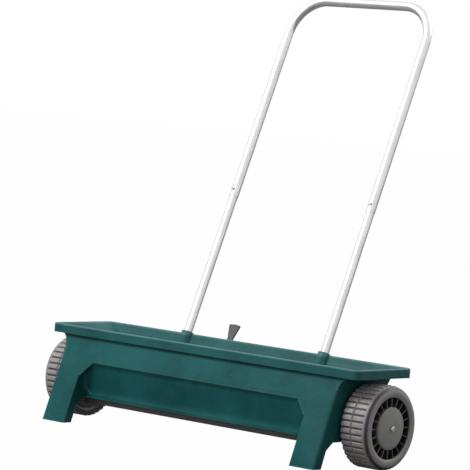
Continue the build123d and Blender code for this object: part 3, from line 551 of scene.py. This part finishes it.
def hub_grey(colour):
    """The hub disc and spokes: the wheel's grey with faint turned rings, darker towards the disc's
    edge. Beyond the disc, everything behind the spokes' outer edges is darkened with painted shade."""
    material, tree, shader, place = finish("hub_disc_plastic")
    radius = axle_distance(tree, place)
    across = tree.nodes.new("ShaderNodeSeparateXYZ")
    tree.links.new(place, across.inputs["Vector"])
    outward = arithmetic(tree, "ABSOLUTE", across.outputs["X"])
    sunk = spread(tree, outward, SPOKE_OUT - 0.0016, SPOKE_OUT - 0.0004, 1.0, 0.0)
    in_ring = spread(tree, radius, DISC_R - 0.0005, DISC_R + 0.0002, 0.0, 1.0)
    rings = arithmetic(tree, "SINE", arithmetic(tree, "MULTIPLY", radius, LATHE_RINGS))
    cloud = grain(tree, place, 38.0, 5.0, 0.6)
    speck = grain(tree, place, 800.0, 3.0, 0.7)
    plain = (colour[0] * 0.92, colour[1] * 0.95, colour[2] * 0.90)
    light = tuple(v * 1.18 for v in plain)
    dusty, pale, painted_shade_colour = (tuple(v * share for v in plain) for share in (0.6, 1.7, 0.12))
    body = blend_colour(tree, spread(tree, cloud, 0.35, 0.65, 0, 1), plain, light)
    # Darker towards the disc's edge
    body = blend_colour(tree, spread(tree, radius, DISC_R - 0.007, DISC_R, 0.0, 0.35), body, dusty)
    body = blend_colour(tree, spread(tree, speck, 0.6, 0.8, 0, 0.35), body, pale)
    # Painted shade: the ring past the disc, behind the spokes' outer edges, is darkened
    body = blend_colour(tree, arithmetic(tree, "MULTIPLY", sunk, in_ring), body, painted_shade_colour)
    tree.links.new(body, shader.inputs["Base Color"])
    tree.links.new(spread(tree, cloud, 0.3, 0.7, 0.42, 0.55), shader.inputs["Roughness"])
    rough_relief(tree, shader, (rings, 0.000012), (speck, 0.00009))
    return material


def dark_plastic(name, colour, low, high, grain_scale):
    """Dark moulded plastic with a fine grain, slight clouding and a dusty bloom."""
    material, tree, shader, place = finish(name)
    cloud = grain(tree, place, 24.0, 5.0, 0.65)
    speck = grain(tree, place, grain_scale, 3.0, 0.7)
    light = tuple(min(1.0, v * 1.8 + 0.004) for v in colour)
    dusty = tuple(v * 2.4 + 0.01 for v in colour)
    body = blend_colour(tree, spread(tree, cloud, 0.35, 0.7, 0, 0.8), colour, light)
    body = blend_colour(tree, spread(tree, speck, 0.6, 0.8, 0, 0.4), body, dusty)
    tree.links.new(body, shader.inputs["Base Color"])
    tree.links.new(spread(tree, cloud, 0.3, 0.7, low, high), shader.inputs["Roughness"])
    rough_relief(tree, shader, (speck, 0.0001), soft_edge=0.0006)
    return material


def tube_metal(colour):
    """Bright drawn tube: long draw lines, clouded shine and a few dull patches."""
    material, tree, shader, place = finish("drawn_tube_metal")
    lines = grain(tree, place, 900.0, 4.0, 0.6, stretch=(1, 1, 0.012), turn=(TUBE_LEAN, 0, 0))
    cloud = grain(tree, place, 16.0, 5.0, 0.6)
    spots = grain(tree, place, 240.0, 3.0, 0.6)
    dull, spotted = tuple(v * 0.80 for v in colour), tuple(v * 0.55 for v in colour)
    body = blend_colour(tree, spread(tree, cloud, 0.35, 0.7, 0, 0.7), colour, dull)
    body = blend_colour(tree, spread(tree, spots, 0.66, 0.78, 0, 0.5), body, spotted)
    tree.links.new(body, shader.inputs["Base Color"])
    shader.inputs["Metallic"].default_value = 0.85
    drawn = arithmetic(tree, "MULTIPLY", lines, 0.6)
    streaks = arithmetic(tree, "ADD", drawn, arithmetic(tree, "MULTIPLY", cloud, 0.4))
    tree.links.new(spread(tree, streaks, 0.35, 0.65, 0.24, 0.42), shader.inputs["Roughness"])
    rough_relief(tree, shader, (lines, 0.00002), (spots, 0.00002))
    return material


def plated_steel(name, colour, low, high, turned_lines=False):
    """Plated or drawn steel: clouded shine, fine scratches and, on turned pieces, lathe rings."""
    material, tree, shader, place = finish(name)
    cloud = grain(tree, place, 60.0, 5.0, 0.65)
    fine = grain(tree, place, 1500.0, 3.0, 0.6, stretch=(0.05, 1, 1) if turned_lines else (1, 1, 1))
    dull, scratched = tuple(v * 0.72 for v in colour), tuple(v * 0.5 for v in colour)
    body = blend_colour(tree, spread(tree, cloud, 0.35, 0.7, 0, 1), colour, dull)
    body = blend_colour(tree, spread(tree, fine, 0.6, 0.75, 0, 0.4), body, scratched)
    tree.links.new(body, shader.inputs["Base Color"])
    shader.inputs["Metallic"].default_value = 1.0
    tree.links.new(spread(tree, cloud, 0.3, 0.7, low, high), shader.inputs["Roughness"])
    rough_relief(tree, shader, (fine, 0.00002), soft_edge=0.0003)
    return material


def painted_rail():
    """Satin black paint on steel with orange peel and pale rubbed edges."""
    material, tree, shader, place = finish("painted_rail_steel")
    peel = grain(tree, place, 350.0, 3.0, 0.5)
    cloud = grain(tree, place, 20.0, 5.0, 0.6)
    black, greyer = (0.010, 0.011, 0.012), (0.022, 0.023, 0.024)
    body = blend_colour(tree, spread(tree, cloud, 0.35, 0.7, 0, 1), black, greyer)
    patches = spread(tree, cloud, 0.5, 0.62, 0, 0.8)
    worn = arithmetic(tree, "MULTIPLY", edge_mask(tree, 0.0007), patches)
    body = blend_colour(tree, worn, body, (0.30, 0.30, 0.31))
    tree.links.new(body, shader.inputs["Base Color"])
    tree.links.new(spread(tree, peel, 0.3, 0.7, 0.34, 0.46), shader.inputs["Roughness"])
    rough_relief(tree, shader, (peel, 0.00008), soft_edge=0.0005)
    return material


def dress(piece, material):
    """Gives a piece of the scene one material."""
    piece.data.materials.clear()
    piece.data.materials.append(material)


def dress_node(node, material):
    """Gives a frame node that is shown as it is a better material in its slots."""
    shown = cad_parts[node]
    if not shown.material_slots:
        shown.data.materials.append(material)
    for slot in shown.material_slots:
        slot.material = material


# ---------------------------------------------------------------- operators


class SPREADER_OT_wheels(bpy.types.Operator):
    """Builds both wheels: ribbed tyre, hub disc and spokes, and dresses their liners and caps"""

    bl_idname = "spreader.wheels"
    bl_label = "Build wheels"

    def execute(self, context):
        settings = context.scene.spreader_wheels
        tyre, angles, lift = tyre_tread(settings.ribs, settings.rib_height)
        hub = hub_profile()
        round_steps = np.linspace(0, 2 * pi, HUB_STEPS, endpoint=False)
        grey = wheel_grey(tuple(settings.tread_colour))
        hub_finish = hub_grey(tuple(settings.tread_colour))
        # Black plastic liner, darkened further with painted shade for the deep shade inside the
        # wheel
        liner = dark_plastic("wheel_liner_plastic", (0.004, 0.004, 0.0042), 0.5, 0.65, 500.0)
        cap = plated_steel("bright_cap_steel", (0.72, 0.72, 0.74), 0.18, 0.32)
        for name, side, body in (("right", 1, "drive"), ("left", -1, "left_wheel")):
            grid = turned(tyre, angles, side, lift)
            around = (grid, grid_faces(*grid.shape[:2], True, True))
            piece = mesh_object(f"{name}_tyre", [around], radians(40))
            grid = turned(hub, round_steps, side)
            around = (grid, grid_faces(*grid.shape[:2], True, True))
            hub_piece = mesh_object(f"{name}_hub", [around], radians(30))
            blades = spoke_blades(settings.spokes, settings.spoke_thickness, side)
            spoke_piece = mesh_object(f"{name}_spokes", blades, radians(35))
            pieces = ((piece, grey), (hub_piece, hub_finish), (spoke_piece, hub_finish))
            for made, material in pieces:
                dress(made, material)
                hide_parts(f"{name}_wheel")
                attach(made, body)
            dress_node(f"{name}_wheel_liner", liner)
            dress_node(f"{name}_axle_cap", cap)
        return {"FINISHED"}


class SPREADER_OT_hopper(bpy.types.Operator):
    """Dresses the hopper moulding and adds the gussets under its rim"""

    bl_idname = "spreader.hopper"
    bl_label = "Dress hopper"

    def execute(self, context):
        settings = context.scene.spreader_hopper
        shell = resurfaced("hopper", "hopper_shell", radians(28))
        gussets = mesh_object("rim_gussets", [rim_gusset(1), rim_gusset(-1)], radians(30))
        green = hopper_green(tuple(settings.colour), tuple(settings.edge_and_highlight_colour))
        for piece in (shell, gussets):
            dress(piece, green)
            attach(piece, "frame")
        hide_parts("hopper")
        return {"FINISHED"}


class SPREADER_OT_handle(bpy.types.Operator):
    """Dresses the handle tubes, their snap buttons, springs and screws"""

    bl_idname = "spreader.handle"
    bl_label = "Dress handle"

    def execute(self, context):
        metal = tube_metal(tuple(context.scene.spreader_handle.metal_colour))
        for node in ("left_lower_tube", "right_lower_tube", "upper_handle"):
            tube = resurfaced(node, f"{node}_drawn", radians(35))
            dress(tube, metal)
            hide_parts(node)
            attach(tube, "frame")
        button = plated_steel("snap_button_steel", (0.55, 0.56, 0.57), 0.22, 0.36)
        spring = plated_steel("leaf_spring_steel", (0.34, 0.35, 0.38), 0.25, 0.4)
        screw = plated_steel("plated_screw_steel", (0.62, 0.63, 0.64), 0.28, 0.42)
        for side in ("left", "right"):
            dress_node(f"{side}_snap_button", button)
            dress_node(f"{side}_button_spring", spring)
        dress_node("socket_screws", screw)
        return {"FINISHED"}


class SPREADER_OT_running_gear(bpy.types.Operator):
    """Dresses the axle, its bushes and washers, the drive pin and the feed rotor"""

    bl_idname = "spreader.running_gear"
    bl_label = "Dress running gear"

    def execute(self, context):
        drawn = plated_steel("drawn_axle_steel", (0.56, 0.56, 0.57), 0.25, 0.4, turned_lines=True)
        dress_node("axle", drawn)
        pin = plated_steel("drive_pin_steel", (0.6, 0.6, 0.6), 0.25, 0.4)
        dress_node("drive_pin", pin)
        washer = plated_steel("washer_steel", (0.62, 0.63, 0.64), 0.28, 0.42)
        dress_node("axle_washers", washer)
        bush = dark_plastic("bush_plastic", (0.42, 0.41, 0.37), 0.4, 0.5, 900.0)
        dress_node("right_axle_bush", bush)
        dress_node("left_axle_bush", bush)
        rotor = dark_plastic("rotor_plastic", (0.018, 0.018, 0.019), 0.42, 0.55, 700.0)
        dress_node("feed_rotor", rotor)
        return {"FINISHED"}


class SPREADER_OT_metering(bpy.types.Operator):
    """Dresses the rate lever, metering slide, rails and their screws"""

    bl_idname = "spreader.metering"
    bl_label = "Dress metering gear"

    def execute(self, context):
        lever = dark_plastic("lever_grey_plastic", (0.050, 0.050, 0.049), 0.42, 0.55, 650.0)
        dress_node("rate_lever", lever)
        slide = dark_plastic("slide_black_plastic", (0.014, 0.014, 0.015), 0.42, 0.56, 600.0)
        dress_node("metering_slide", slide)
        dress_node("rear_rail", slide)
        dress_node("front_rail", painted_rail())
        screw = plated_steel("rail_screw_steel", (0.62, 0.63, 0.64), 0.28, 0.42)
        for node in ("rail_screws", "lever_screw", "lever_washer"):
            dress_node(node, screw)
        return {"FINISHED"}


class SPREADER_OT_stage(bpy.types.Operator):
    """Lays the floor, sets the lamps and the world, and places the camera"""

    bl_idname = "spreader.stage"
    bl_label = "Set the stage"

    def execute(self, context):
        scene = context.scene
        settings = scene.spreader_stage
        self.lay_floor(scene, settings.floor_colour)
        self.light_world(scene)
        for name, place, aim, size, power in LAMPS:
            lamp = bpy.data.lights.new(name, "AREA")
            lamp.shape = "DISK"
            lamp.size = size
            lamp.energy = power
            placed = bpy.data.objects.new(name, lamp)
            scene.collection.objects.link(placed)
            back = np.array(place) - np.array(aim)
            back = back / np.linalg.norm(back)
            right = np.cross((0, 0, 1), back)
            right /= np.linalg.norm(right)
            placed.matrix_world = standing(place, right, np.cross(back, right), back)
        self.place_camera(scene, settings.camera_distance)
        scene.view_settings.view_transform = "Standard"
        return {"FINISHED"}

    def lay_floor(self, scene, colour):
        """A plain floor that looks nearly white to the camera and still takes shadows."""
        half, low = FLOOR_HALF, -FLOOR_GAP
        mesh = bpy.data.meshes.new("floor")
        corners = [(-half, -half, low), (half, -half, low), (half, half, low), (-half, half, low)]
        mesh.from_pydata(corners, [], [(0, 1, 2, 3)])
        floor = bpy.data.objects.new("floor", mesh)
        scene.collection.objects.link(floor)
        material, tree, shader, _ = finish("plain_floor")
        shader.inputs["Base Color"].default_value = (*colour, 1.0)
        shader.inputs["Roughness"].default_value = 0.9
        shader.inputs["Specular IOR Level"].default_value = 0.1
        rays = tree.nodes.new("ShaderNodeLightPath")
        white = tree.nodes.new("ShaderNodeEmission")
        mix = tree.nodes.new("ShaderNodeMixShader")
        seen = arithmetic(tree, "MULTIPLY", rays.outputs["Is Camera Ray"], FLOOR_WHITE)
        tree.links.new(seen, mix.inputs["Fac"])
        tree.links.new(shader.outputs["BSDF"], mix.inputs[1])
        tree.links.new(white.outputs["Emission"], mix.inputs[2])
        tree.links.new(mix.outputs["Shader"], tree.nodes["Material Output"].inputs["Surface"])
        floor.data.materials.append(material)

    def light_world(self, scene):
        """White to the camera, to shine and through clear things, dimmer light for the rest."""
        world = scene.world or bpy.data.worlds.new("plain_world")
        scene.world = world
        world.use_nodes = True
        sky = world.node_tree
        sky.nodes.clear()
        seen, lit = sky.nodes.new("ShaderNodeBackground"), sky.nodes.new("ShaderNodeBackground")
        seen.inputs["Color"].default_value = (1, 1, 1, 1)
        seen.inputs["Strength"].default_value = 1.0
        lit.inputs["Color"].default_value = WORLD_COLOUR
        lit.inputs["Strength"].default_value = WORLD_LIGHT
        rays = sky.nodes.new("ShaderNodeLightPath").outputs
        white = arithmetic(sky, "MAXIMUM", rays["Is Camera Ray"], rays["Is Glossy Ray"])
        white = arithmetic(sky, "MAXIMUM", white, rays["Is Transmission Ray"])
        mix = sky.nodes.new("ShaderNodeMixShader")
        out = sky.nodes.new("ShaderNodeOutputWorld")
        sky.links.new(white, mix.inputs["Fac"])
        sky.links.new(lit.outputs["Background"], mix.inputs[1])
        sky.links.new(seen.outputs["Background"], mix.inputs[2])
        sky.links.new(mix.outputs["Shader"], out.inputs["Surface"])

    def place_camera(self, scene, distance):
        """The photograph's place. The camera looks along minus back, and the roll turns right
        and up about it: across is cos(roll) right - sin(roll) up, and upward is
        sin(roll) right + cos(roll) up."""
        azimuth, height, roll = CAMERA_AZIMUTH, CAMERA_HEIGHT, CAMERA_ROLL
        back = np.array([sin(azimuth) * cos(height), -cos(azimuth) * cos(height), sin(height)])
        right = np.array([cos(azimuth), sin(azimuth), 0.0])
        up = np.cross(back, right)
        across = cos(roll) * right - sin(roll) * up
        upward = sin(roll) * right + cos(roll) * up
        camera = bpy.data.cameras.new("view_camera")
        camera.sensor_width = SENSOR
        camera.lens = FOCAL_PIXELS / PHOTO_PIXELS * SENSOR * distance / FIT_DISTANCE
        seen_from = bpy.data.objects.new("view_camera", camera)
        scene.collection.objects.link(seen_from)
        place = np.array(CAMERA_AIM) + back * distance
        seen_from.matrix_world = standing(place, across, upward, back)
        scene.camera = seen_from


class SPREADER_PT_panel(bpy.types.Panel):
    """Lists the spreader's pieces and their settings"""

    bl_idname = "SPREADER_PT_panel"
    bl_label = "Lawn Spreader"
    bl_space_type = "VIEW_3D"
    bl_region_type = "UI"
    bl_category = "Spreader"

    def draw(self, context):
        scene = context.scene
        for settings, operators in (
            (scene.spreader_wheels, ("spreader.wheels", "spreader.running_gear")),
            (scene.spreader_hopper, ("spreader.hopper", "spreader.metering")),
            (scene.spreader_handle, ("spreader.handle",)),
            (scene.spreader_stage, ("spreader.stage",)),
        ):
            box = self.layout.box()
            for name in settings.bl_rna.properties.keys():
                if name not in {"rna_type", "name"}:
                    box.prop(settings, name)
            for operator in operators:
                box.operator(operator)


CLASSES = (
    SpreaderWheelSettings,
    SpreaderHopperSettings,
    SpreaderHandleSettings,
    SpreaderStageSettings,
    SPREADER_OT_wheels,
    SPREADER_OT_hopper,
    SPREADER_OT_handle,
    SPREADER_OT_running_gear,
    SPREADER_OT_metering,
    SPREADER_OT_stage,
    SPREADER_PT_panel,
)


def register():
    """Makes the settings, operators and panel known to Blender."""
    for each in CLASSES:
        bpy.utils.register_class(each)
    bpy.types.Scene.spreader_wheels = bpy.props.PointerProperty(type=SpreaderWheelSettings)
    bpy.types.Scene.spreader_hopper = bpy.props.PointerProperty(type=SpreaderHopperSettings)
    bpy.types.Scene.spreader_handle = bpy.props.PointerProperty(type=SpreaderHandleSettings)
    bpy.types.Scene.spreader_stage = bpy.props.PointerProperty(type=SpreaderStageSettings)


def unregister():
    """Takes the settings and classes out of Blender again."""
    del bpy.types.Scene.spreader_stage
    del bpy.types.Scene.spreader_handle
    del bpy.types.Scene.spreader_hopper
    del bpy.types.Scene.spreader_wheels
    for each in reversed(CLASSES):
        bpy.utils.unregister_class(each)


def main():
    """Builds everything."""
    register()
    bpy.ops.spreader.stage()
    bpy.ops.spreader.wheels()
    bpy.ops.spreader.hopper()
    bpy.ops.spreader.handle()
    bpy.ops.spreader.running_gear()
    bpy.ops.spreader.metering()


if __name__ == "__main__":
    main()
